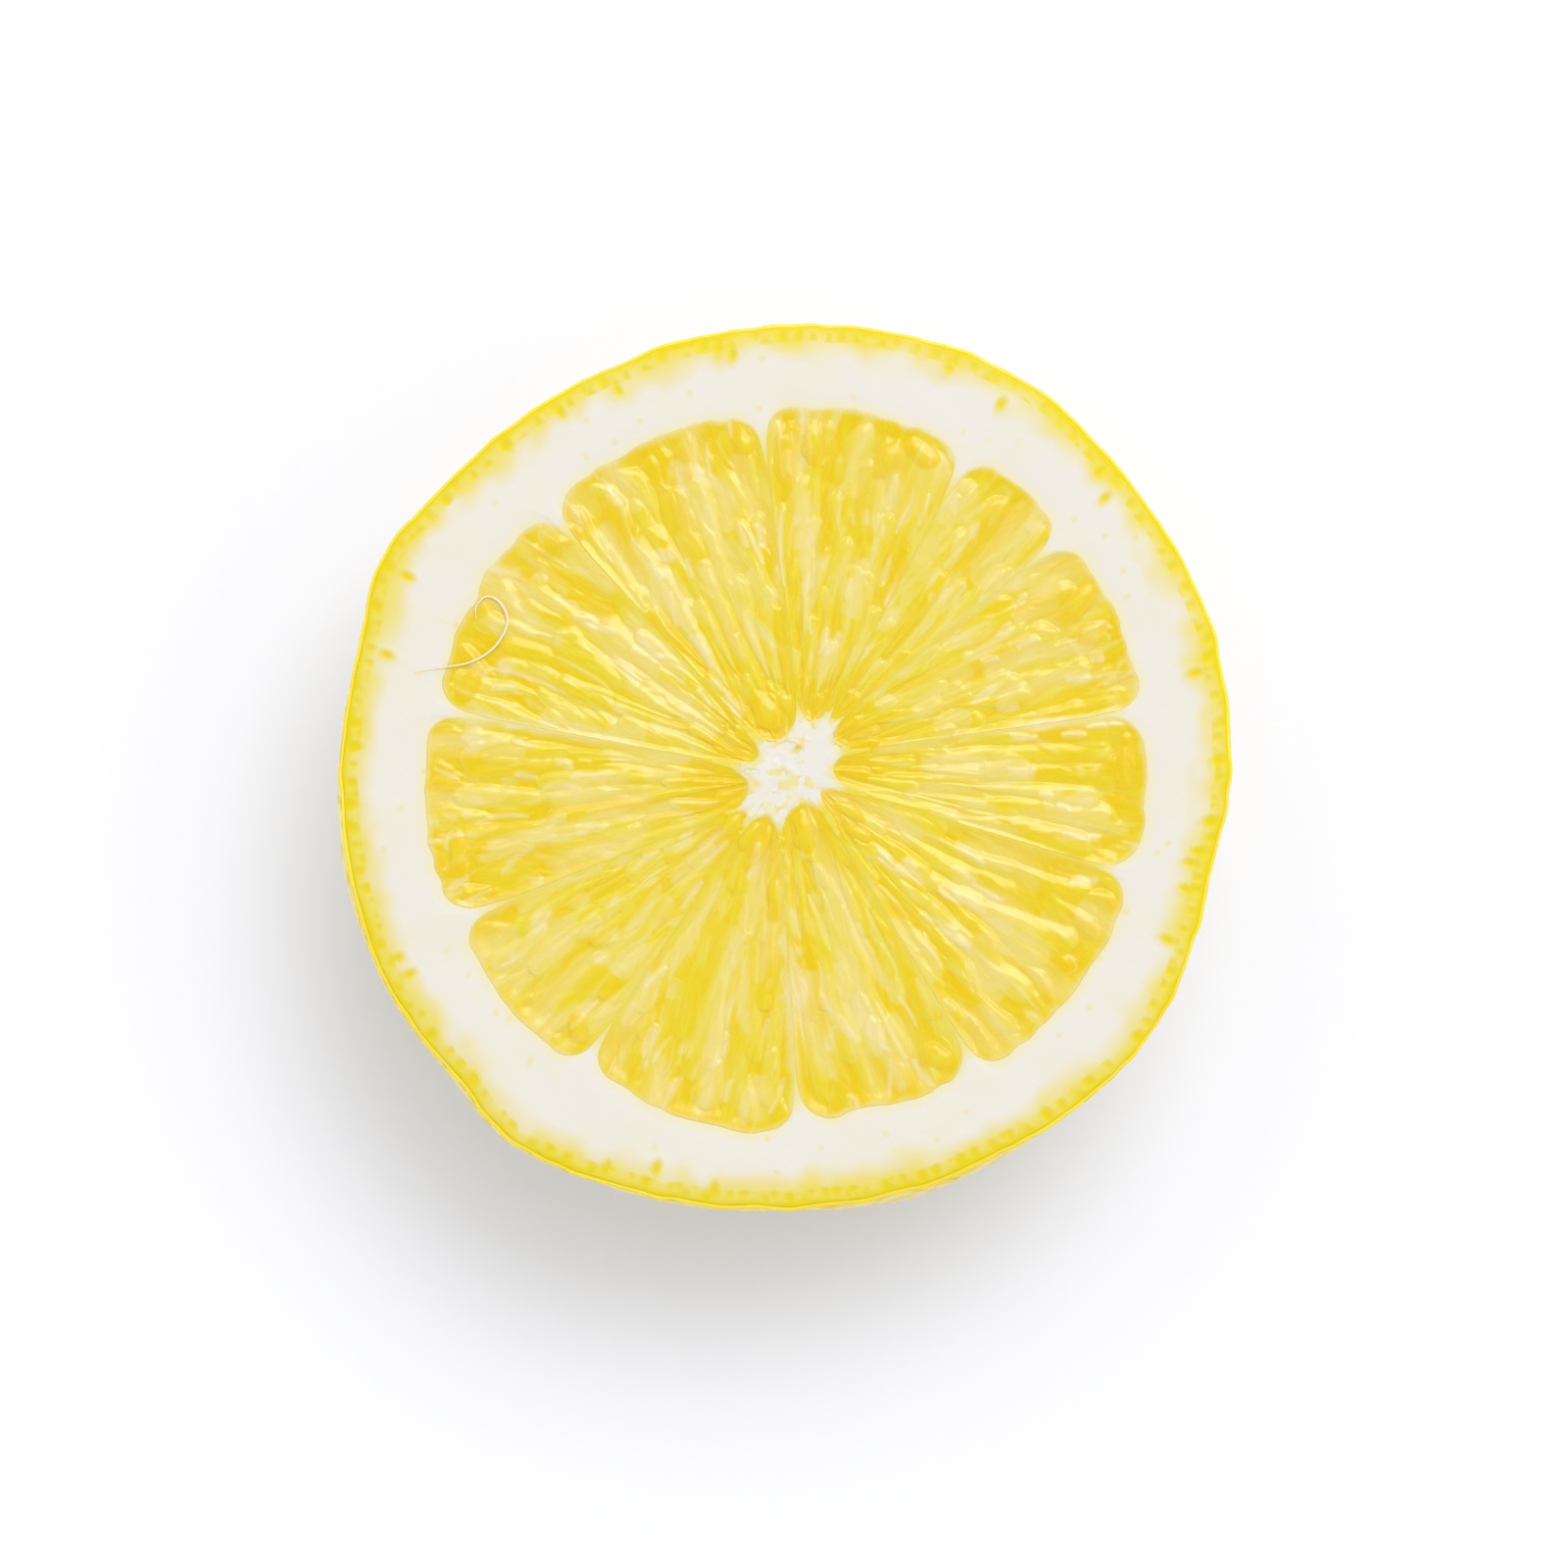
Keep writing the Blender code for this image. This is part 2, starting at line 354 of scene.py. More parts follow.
def body_radius(degrees, depth):
    """Rim radius, evened out towards the stem end, times girth, plus the belly and its swells."""
    evened = (depth / TOP) ** 1.5
    rough = (rim_radius(degrees) - around(RIM, degrees)) * hill(depth, 2.5)
    radius = around(RIM, degrees) * (1 - evened) + MEAN_RADIUS * evened + rough
    belly = BELLY + sum(h * hill(turn_from(a, degrees), s) for a, h, s in SWELLS)
    rise = hill(depth - BELLY_DEPTH, BELLY_SPAN) - hill(BELLY_DEPTH, BELLY_SPAN) * girth(depth)
    return radius * girth(depth) + belly * np.maximum(rise, 0)


def make_peel():
    """Rings run over a hidden floor, up inside the lip, over the rim and down the outside. Their
    radius is the body's, less the pits of the pores, plus noise. A quarter of a sine wave of the
    depth leans them to one side."""
    lip = [(-15.0, PEEL_FLOOR), (-0.9, PEEL_FLOOR), (-0.9, -1.2), (-0.6, -0.6), (-0.4, -0.32)]
    lip += [(-0.2, -0.02 - DROOP), (-0.1, -0.02 - DROOP), (-0.03, -0.06 - DROOP)]
    arc = np.linspace(0, 1, PEEL_RINGS)
    fine = np.linspace(0.15 + DROOP, TOP, 4000)
    outline = np.hypot(np.gradient(fine), np.gradient(RIM_CIRCLE * girth(fine)))
    length = np.cumsum(outline)
    depth = np.interp(arc * length[-1], length, fine)
    depth[-1] = TOP
    depth, degrees = ring_grid(depth, PEEL_COLUMNS)
    run = np.interp(depth, fine, length)
    radius = body_radius(degrees, depth)
    rows = np.arange(0.4, length[-1], PORE_PITCH * 0.87)
    radii = RIM_CIRCLE * girth(np.interp(rows, length, fine))
    away, name = spots(run, degrees, rows, radii, PORE_PITCH, 0.36, 11)
    rounding = 1 - ease(away, 0.0, PORE_WIDTH * (0.75 + 0.5 * name))
    settle = ease(TOP - depth, 0.0, 1.5)
    pits = rounding * PORE_DEPTH * (0.55 + 0.75 * name) * settle
    x, y = polar(radius, degrees)
    lumps = 0.10 * cloud(x + 0.8 * depth, y - 0.6 * depth, 3.1, 5)
    lumps = lumps + 0.16 * cloud(x, y + depth, 7.3, 6)
    waves = np.cos(np.radians(degrees) * 9 + 2 * cloud(x, y, 9, 8))
    furrow = 0.22 * hill(depth - 33.5, 3.0) * waves
    radius = radius - pits + (lumps + furrow) * settle * ease(depth, 0.2, 2.0)
    lean = LEAN * np.sin(0.5 * np.pi * depth / TOP)
    x, y = polar(radius, degrees)
    x, y = x + lean * np.cos(LEAN_ANGLE), y + lean * np.sin(LEAN_ANGLE)
    inner = np.array(lip)
    lx, ly = polar(rim_radius(degrees[0]) + inner[:, :1], degrees[0])
    lz = np.broadcast_to(inner[:, 1:], lx.shape)
    # Painted shade: the pits get a mask that darkens their colour in the finish
    pit_shade = np.concatenate([np.zeros_like(lx), rounding * settle])
    x, y, z = np.concatenate([lx, x]), np.concatenate([ly, y]), np.concatenate([lz, -depth])
    foot = (x[-1].mean(), y[-1].mean(), -TOP)
    return round_body("peel", x, y, z, [(0, 0, PEEL_FLOOR), foot], {"pit_shade": pit_shade})


peel = make_peel()
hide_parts("lemon_half")

# %% [markdown]
# ## Pith, walls and glands
# One white plate carries everything that is dry: the ring of pith, the thin walls between the
# wedges and, at its rim, the cut skin with its oil glands. Under each wedge it drops away, so only
# the walls stay up. The glands are cut open, so each is a small dimple with a raised edge, strongly
# yellow, and between them the yellow fades into the white over two to three millimetres.

# %% Where a point lies in the plan
# The radius of a wedge's two outer corners
CORNER = 2.0

# How clearly each wall shows, from 0, where the sacs press over it, to 1
WALL_SHOWS = [0.95, 0.6, 0.2, 0.2, 0.2, 1.0, 0.45, 0.3, 0.85, 0.4, 0.25]


def wall_half(radius):
    """Half the thickness of a wall: thin half way out, thicker at the core and at the pith."""
    return 0.04 + 0.34 * ease(radius, 19.5, 24.8) + 0.12 * ease(-radius, -5.5, -3.5)


def wall_clearness(radius, degrees):
    """How clearly the nearest wall shows at each point: its own share, less half way out. Also how
    far each point is past the end of its arm of the core, from 0 to 1."""
    clear = np.zeros(radius.shape)
    past = np.zeros(radius.shape)
    for wall, share in zip(WALLS, WALL_SHOWS):
        turned = turn_from(wall_direction(wall, radius), degrees)
        near = hill(np.radians(turned) * radius, 1.2)
        clear = np.maximum(clear, share * near)
        past = np.maximum(past, near * ease(radius, wall[2] - 0.3, wall[2] + 0.8))
    fading = (0.35 + 0.65 * ease(radius, 11.0, 18.0)) * ease(radius, 5.0, 8.0)
    return clear * fading, past


def wedge_sides(i, radius):
    """Directions in degrees of a wedge's two sides, and half its width in mm, at a distance. The
    sides are its two walls moved in by half their thickness, and the width is an arc."""
    thick = np.degrees(wall_half(radius) / np.maximum(radius, 1.0))
    low = wall_direction(WALLS[i], radius) + thick
    high = wall_direction(next_wall(i), radius) - thick
    return low, high, np.radians(high - low) / 2 * radius


def wedge_ends(i, across):
    """Distances of a wedge's inner tip and outer end, for a place across it from -1 to 1. The tip
    is a half round and the outer corners are quarter circles of radius CORNER."""
    tip, end = WALLS[i][3], WALLS[i][4]
    half_out = wedge_sides(i, np.array(end))[2]
    half_in = wedge_sides(i, np.array(tip + 1.0))[2]
    from_side = (1 - np.abs(across)) * half_out
    q = np.clip(1 - from_side / CORNER, 0, 1)
    place = across * half_out
    wave = 0.2 * cloud(place, 0 * place, 2.1, 40 + i) + 0.1 * cloud(place, 0 * place, 0.9, 240 + i)
    outer = end - CORNER * (1 - np.sqrt(1 - q * q)) + wave * (1 - q)
    tip_round = 1 - np.sqrt(np.clip(1 - across * across, 0, 1))
    return tip + 1.25 * np.minimum(half_in, 1.3) * tip_round, outer


def inside_wedges(radius, degrees):
    """How far in mm each point lies inside its wedge, negative on the white: the smallest of its
    distances from the nearer side, the tip and the outer end."""
    deepest = np.full(radius.shape, -9.0)
    for i in range(len(WALLS)):
        low, high, half = wedge_sides(i, radius)
        turned = turn_from((low + high) / 2, degrees)
        across = np.clip(turned / ((high - low) / 2), -1.0, 1.0)
        inner, outer = wedge_ends(i, across)
        from_side = half - np.abs(np.radians(turned)) * radius
        inside = np.minimum(np.minimum(from_side, outer - radius), radius - inner)
        deepest = np.maximum(deepest, inside)
    return deepest


print(f"walls are {2 * wall_half(np.array(12.0)):.2f} mm thick half way out")

# %% Pith shape
PLATE_LEVEL, PLATE_FLOOR = -0.03, -2.8
PLATE_COLUMNS = 1240
WELL_DEPTH = 0.7
RIM_MARGIN = 0.14
GLAND_PITCH = 1.36
GLAND_STRETCH = 1.7

# How far the two rows of glands lie from the rim
GLAND_ROWS = np.array([0.66, 1.55])


def gland_field(degrees, from_rim):
    """Cut glands under the skin, each an oval that points inwards: one full row and a sparse second
    one. Returns how much of a point is gland, from 0 to 1, and its distance from the gland's middle
    over its size. The distance is squeezed by GLAND_STRETCH along the radius, which makes ovals."""
    place, rows = from_rim / GLAND_STRETCH, GLAND_ROWS / GLAND_STRETCH
    away, name = spots(place, degrees, rows, np.array([29.4, 28.5]), GLAND_PITCH, 0.22, 21)
    apart = GLAND_ROWS[1] - GLAND_ROWS[0]
    row = np.clip(np.round((from_rim - GLAND_ROWS[0]) / apart), 0, 1).astype(int)
    size = np.choose(row, [0.5, 0.34]) * (0.6 + 0.75 * name)
    present = np.where(name > np.choose(row, [0.06, 0.86]), 0.65 + 0.35 * name, 0.0)
    share = away / size
    return present * (1 - ease(share, 0.15, 1.35)), share + 9 * (present == 0)


def make_pith():
    """Rings run out over the plate, close together at the wedge ends and at the glands, then down
    the hidden edge to the bottom. The height is level plus noise, less a droop that grows with the
    square of the nearness to the rim, less the wells under the wedges and the bowls of glands."""
    zones = [(0.6, 5.4, 0.6), (5.4, 22, 0.85), (22, 25.2, 0.2), (25.2, 27, 0.3), (27, 29.9, 0.132)]
    ring, degrees = ring_grid(np.concatenate([np.arange(*zone) for zone in zones]), PLATE_COLUMNS)
    rim = rim_radius(degrees)
    radius = ring + (rim - RIM_CIRCLE) * ease(ring, 25.0, 27.0)
    x, y = polar(radius, degrees)
    from_rim = rim - RIM_MARGIN - radius
    inside = inside_wedges(radius, degrees)
    gland, share = gland_field(degrees, from_rim)
    uneven = 0.015 * cloud(x, y, 1.3, 31) + 0.04 * cloud(x, y, 4.2, 32)
    uneven = uneven + 0.004 * cloud(x, y, 0.4, 33)
    z = PLATE_LEVEL + (0.05 + uneven * ease(from_rim, 0.0, 1.0)) * ease(-inside, 0.0, 1.5)
    z = z - DROOP * np.clip(1 - from_rim / DROOP_WIDTH, 0, 1) ** 2
    z = z - WELL_DEPTH * ease(inside, 0.0, 0.9)
    bowl = 0.03 * hill(share - 1.0, 0.3) - 0.05 * (1 - ease(share, 0.0, 0.9))
    z = z + bowl * ease(from_rim, 0.1, 0.3) - 0.03 * ease(-from_rim, -0.25, 0.0)
    wander = 0.55 * cloud(x, y, 1.2, 34) + 0.45 * cloud(x, y, 2.6, 35)
    yellow = 1 - ease(from_rim + wander * ease(from_rim, 0.2, 1.2), 0.3, 2.9)
    band = 0.95 * (1 - ease(from_rim + 0.35 * wander, 0.1, 0.65))
    gland = np.maximum(gland, band)
    speck_rows = np.array([25.0, 26.0, 27.0])
    away, name = spots(radius, degrees, speck_rows, speck_rows, 2.6, 0.45, 37)
    speck = (1 - ease(away, 0.1, 0.3)) * (name > 0.72)
    near_flesh = (1 - ease(-inside, 0.0, 0.8)) * (inside < 0.3)
    clear, past = wall_clearness(radius, degrees)
    wall = (inside > -0.6) * past * (1 - ease(radius, 20.5, 23.6))
    skirt = [(rim[-1] - 0.2, -0.5), (rim[-1] - 0.6, PLATE_FLOOR), (15.0, PLATE_FLOOR)]
    fields = dict(gland=gland, yellow=yellow, near_flesh=near_flesh, wall=wall, clear=clear)
    fields["speck"] = speck
    x, y, z, values = with_skirt(x, y, z, degrees[0], skirt, fields)
    poles = [(0, 0, z[0].mean()), (0, 0, PLATE_FLOOR)]
    return round_body("pith", x, y, z, poles, values, len(skirt))


pith = make_pith()

# %% [markdown]
# ## Core
# The middle of a lemon is a sponge of the same pith, torn into small pits by the knife. It is a
# separate small disc, because it needs a finer mesh than the plate. The tips of the wedges lie over
# its edge, and what they leave free is the star.

# %% Core shape
CORE_RADIUS, CORE_FLOOR = 6.2, -1.0
CORE_COLUMNS = 360


def make_core():
    """Rings of a shallow disc. Its height is the plate's plus noise, less pits where a cloud is
    high, and it drops away under the wedges."""
    ring = np.concatenate([np.arange(0.1, CORE_RADIUS, 0.1), [CORE_RADIUS]])
    radius, degrees = ring_grid(ring, CORE_COLUMNS)
    x, y = polar(radius, degrees)
    inside = inside_wedges(radius, degrees)
    sponge = cloud(x, y, 0.55, 51) * cloud(x + 9, y, 0.8, 52)
    pits = ease(cloud(x, y, 0.62, 53) + 0.5 * cloud(x, y, 0.3, 54), 0.35, 1.0)
    z = PLATE_LEVEL + 0.03 + 0.09 * sponge - 0.16 * pits + 0.05 * cloud(x, y, 1.7, 55)
    z = z - 0.8 * ease(inside, 0.05, 0.8) - 0.25 * ease(radius, 5.2, CORE_RADIUS)
    stain = ease(cloud(x, y, 0.7, 56) + 0.6 * cloud(x, y, 0.35, 57), 0.1, 0.9)
    smear = hill(y - 1.65, 0.42) * hill(x + 0.2, 1.5) * ease(cloud(x, y, 0.45, 58), -0.3, 0.4)
    fleck = hill(np.hypot(x + 2.4, y + 0.8), 0.35)
    speck = hill(np.hypot((x - 0.46) / 1.6, y - 1.7), 0.17)
    skirt = [(CORE_RADIUS, CORE_FLOOR), (CORE_RADIUS * 0.5, CORE_FLOOR)]
    fields = dict(stain=stain, smear=np.maximum(smear, fleck), speck=speck)
    fields["near_flesh"] = 1 - ease(-inside, 0.0, 0.7)
    fields["past"] = wall_clearness(radius, degrees)[1] * (inside > -0.7)
    x, y, z, values = with_skirt(x, y, z, degrees[0], skirt, fields)
    return round_body("core", x, y, z, [(0, 0, z[0].mean()), (0, 0, CORE_FLOOR)], values)


core = make_core()

# %% [markdown]
# ## Flesh
# A wedge is packed with juice sacs. Each sac is a long teardrop, with its fat end towards the pith
# and its tail towards the core. The knife opens the ones that stand too high and leaves them flat,
# and the whole ones stay round and shiny below the cut. So each sac is a teardrop-shaped dome with
# a random height, the surface is the highest of all the domes, and the knife is a soft limit on it.
# Over that lie flat facets, each tilted its own way, because a knife tears wet flesh more than it
# cuts it, and each facet then catches the light on its own; the palest facets also carry a painted
# glint.
# A few swollen sacs and bare wet spots have places of their own, and the wet spots carry a painted
# gleam. The same arrays tell the material where the skins and shreds of the sacs are, whose pale
# cream is partly painted highlight, and where one looks deep into the juice.

# %% One wedge's juice sacs
SAC_BASE, LOWEST = -0.15, -0.6
SMOOTH, TONE_SMOOTH = 0.02, 0.05
KNIFE_SMOOTH = 0.03
WEDGE_FLOOR = -2.4
WEDGE_COLUMNS, WEDGE_RINGS = 151, 261

# Families of sacs: where along the wedge their heads lie (from, to, as a share), the pitch across,
# the half width as a share of the pitch, the length in mm, and how tall the dome is.
FAMILIES = [
    (0.95, 1.00, 1.9, (0.36, 0.58), (2.5, 6.0), (0.14, 0.26)),
    (0.84, 0.98, 2.2, (0.30, 0.50), (7.0, 15.0), (0.10, 0.20)),
    (0.60, 0.86, 1.7, (0.32, 0.55), (6.0, 12.0), (0.08, 0.17)),
    (0.40, 0.68, 1.3, (0.32, 0.55), (5.0, 10.0), (0.07, 0.15)),
    (0.18, 0.46, 0.9, (0.35, 0.60), (3.5, 7.0), (0.06, 0.13)),
    (0.10, 0.16, 1.0, (0.45, 0.60), (2.0, 3.0), (0.14, 0.22)),
]

# Strokes along a wedge: how many in a square mm, lengths, widths, slant and seed
# Lines: sac skins seen edge-on, whose pale cream is partly a painted highlight
LINES_AND_GLINTS = (0.045, (1.5, 6.0), (0.10, 0.17), 0.08, 130)
# Shreds: torn sac skins whose pale cream is partly a painted highlight
SHREDS_AND_GLINTS = (0.06, (1.0, 3.0), (0.18, 0.4), 0.2, 150)
PATCHES = (0.07, (2.5, 8.0), (0.4, 1.1), 0.06, 170)

# Facets: width and length in mm, and seed
WIDE_FACETS = (1.1, 2.6, 310)
SMALL_FACETS = (0.55, 1.3, 330)


def pack_sacs(i, radius, across, half):
    """Rounded union of the sacs of wedge i. A sac is a long teardrop: its width swells from the
    tail and closes in a half round at the head, and its dome is a parabola across. The union is
    the log of the summed exponentials of the heights, so that neighbours meet in a soft crease.
    Also returns how far the highest sac stands over the next, and the tone of the sacs there."""
    rng = np.random.default_rng(700 + i)
    tip, end = WALLS[i][3], WALLS[i][4]
    total = np.full(radius.shape, np.exp(SAC_BASE / SMOOTH))
    tone_total = np.full(radius.shape, np.exp(SAC_BASE / TONE_SMOOTH))
    tone_sum = 0.2 * tone_total
    high = np.full(radius.shape, SAC_BASE)
    second = np.full(radius.shape, SAC_BASE - 0.05)
    for low_share, high_share, pitch, widths, lengths, heights in FAMILIES:
        middle = tip + (end - tip) * (low_share + high_share) / 2
        half_here = float(wedge_sides(i, np.array(middle))[2])
        count = max(1, round(2 * half_here / pitch))
        bulb = low_share > 0.9 or high_share < 0.2
        for k in range(count):
            head = tip + (end - tip) * rng.uniform(low_share, high_share)
            tail = max(head - rng.uniform(*lengths), tip * 0.7)
            width = pitch * rng.uniform(*widths)
            place = ((k + rng.uniform(0.15, 0.85)) / count) * 2 - 1
            tail_place = place + rng.uniform(-0.2, 0.2)
            bend = rng.uniform(-0.3, 0.3)
            tall = rng.uniform(*heights)
            crest = rng.uniform(-0.10, 0.05)
            clear_sac = bulb and rng.random() < 0.5
            mood = rng.uniform(-0.1, 0.35) if clear_sac else rng.normal(0.52, 0.22)
            body = 1 - min(1.1 * width / (head - tail), 0.5)
            s = np.clip((radius - tail) / (head - tail), 0, 1)
            grow = np.clip(s / body, 0, 1) ** 0.6
            close = np.sqrt(np.clip(1 - ((s - body) / (1 - body)) ** 2, 0, 1))
            girth_here = np.where(s < body, grow, close)
            axis = place * s + tail_place * (1 - s) + bend * s * (1 - s)
            aside = (across - axis) * half / (width * girth_here + 1e-6)
            height = crest - tall * (aside * aside) - 0.8 * tall * (1 - girth_here)
            height = np.where((s > 0) & (s < 1), np.maximum(height, LOWEST), LOWEST)
            total = total + np.exp(height / SMOOTH)
            weight = np.exp(height / TONE_SMOOTH)
            tone_total = tone_total + weight
            tone_sum = tone_sum + weight * mood
            over = height > high
            second = np.where(over, high, np.maximum(second, height))
            high = np.where(over, height, high)
    return SMOOTH * np.log(total), high - second, tone_sum / tone_total


def strokes(i, radius, aside, half, per_area, lengths, widths, slant, seed):
    """The strongest of many soft strokes laid along wedge i, from 0 to 1. A stroke is a thin
    curve: its place across is a line plus an arch, and it fades from there as a hill does."""
    rng = np.random.default_rng(seed + i)
    tip, end = WALLS[i][3], WALLS[i][4]
    area = float(wedge_sides(i, np.array((tip + end) / 2))[2]) * 2 * (end - tip)
    best = np.zeros(radius.shape)
    for _ in range(round(per_area * area)):
        length = rng.uniform(*lengths)
        width = rng.uniform(*widths)
        middle = tip + (end - tip) * np.sqrt(rng.uniform(0.02, 1.0))
        place = rng.uniform(-0.95, 0.95)
        tilt = rng.normal(0, slant)
        arch = rng.normal(0, 0.05) * length
        s = np.clip((radius - middle) / length + 0.5, 0, 1)
        path = place * half + tilt * (radius - middle) + arch * 4 * s * (1 - s)
        taper = (4 * s * (1 - s)) ** 0.5
        level = rng.uniform(0.55, 1.0) * ease(taper, 0.0, 0.5)
        best = np.maximum(best, level * hill(aside - path, width * (0.35 + 0.65 * taper)))
    return best


def shards(i, x, y, wide, long, seed):
    """A torn wedge of many flat facets. Each point belongs to the nearest of many scattered
    seeds, one in each cell of a lattice. Returns the height of its facet, which is a plane tilted
    at random, the facet's own number from 0 to 1, and how clear the point is of its border."""
    table = np.random.default_rng(seed + i).uniform(0, 1, (5, TABLE, TABLE))
    gx, gy = x / wide, y / long
    ix, iy = np.floor(gx).astype(int), np.floor(gy).astype(int)
    first, second = np.full(x.shape, 9.0), np.full(x.shape, 9.0)
    plane, number = np.zeros(x.shape), np.zeros(x.shape)
    for step in range(9):
        cx, cy = ix + step % 3 - 1, iy + step // 3 - 1
        side, ahead, tilt_x, tilt_y, own = table[:, cx % TABLE, cy % TABLE]
        dx, dy = gx - cx - side, gy - cy - ahead
        away = np.hypot(dx, dy)
        closer = away < first
        second = np.where(closer, first, np.minimum(second, away))
        plane = np.where(closer, dx * (2 * tilt_x - 1) + dy * (2 * tilt_y - 1), plane)
        number = np.where(closer, own, number)
        first = np.minimum(first, away)
    clear = ease(second - first, 0.0, 0.45)
    return plane * clear, number, clear


# Swollen sacs that stand out, and wet torn spots that carry a painted gleam. Each: direction from
# the core in degrees, distance, half width, half length, and the turn of its length away from the
# radius in degrees.
BULBS = [
    (135.6, 22.0, 0.9, 2.0, 70), (98.4, 22.4, 0.85, 1.1, 25), (91.2, 20.9, 0.8, 2.6, -4),
    (73.0, 21.9, 1.0, 1.3, -10), (67.8, 23.2, 0.9, 1.2, 60), (86.5, 22.2, 0.7, 1.5, 0),
    (30.5, 22.2, 0.9, 1.9, 20), (25.0, 22.0, 0.8, 1.4, -10), (1.0, 22.3, 0.6, 2.1, 85),
    (165.2, 22.4, 0.8, 1.6, 75), (194.0, 23.1, 0.7, 1.9, 80), (230.5, 22.6, 0.7, 1.3, 40),
    (297.0, 21.6, 0.9, 1.5, 40), (221.0, 5.5, 0.55, 1.4, 10), (236.5, 4.9, 0.65, 1.5, 0),
    (247.0, 5.6, 0.6, 1.7, -5), (281.0, 4.2, 0.7, 1.5, 0), (326.0, 4.6, 0.5, 1.3, 0),
    (113.0, 4.5, 0.9, 1.8, 10), (318.0, 6.2, 0.45, 1.1, 15), (263.0, 8.2, 0.6, 2.0, 0),
]
PAINTED_GLEAM_SPOTS = [
    (159.8, 20.6, 0.65, 0.8, 40), (107.6, 21.0, 0.55, 1.1, 50), (53.0, 20.2, 0.5, 0.7, 20),
    (173.4, 21.6, 0.7, 1.9, 90), (210.5, 19.6, 0.8, 1.3, 30), (223.0, 18.3, 0.6, 1.2, -30),
    (60.5, 13.5, 0.5, 1.0, 10), (22.0, 14.0, 0.35, 1.3, 15), (10.5, 17.5, 0.5, 1.6, 0),
    (319.0, 10.6, 0.5, 1.4, 10), (322.0, 13.4, 0.4, 1.5, 5), (282.0, 17.5, 0.35, 1.8, 20),
    (143.5, 16.8, 0.45, 2.0, 10), (120.5, 17.0, 0.7, 1.0, 50), (196.0, 14.5, 0.35, 1.9, 0),
    (271.0, 14.5, 1.0, 2.6, 0), (33.5, 17.0, 0.5, 1.0, 0), (181.0, 13.5, 0.4, 2.2, 5),
]


def ovals(x, y, places):
    """For each point, the smallest share over all ovals of the list: 0 at an oval's middle, 1 on
    its outline. The share is the length of the two offsets, each over its half axis."""
    best = np.full(x.shape, 9.0)
    for direction, distance, wide, long, turn in places:
        a = np.radians(direction)
        b = a + np.radians(turn)
        dx, dy = x - distance * np.cos(a), y - distance * np.sin(a)
        along, aside = dx * np.cos(b) + dy * np.sin(b), dy * np.cos(b) - dx * np.sin(b)
        best = np.minimum(best, np.hypot(along / long, aside / wide))
    return best


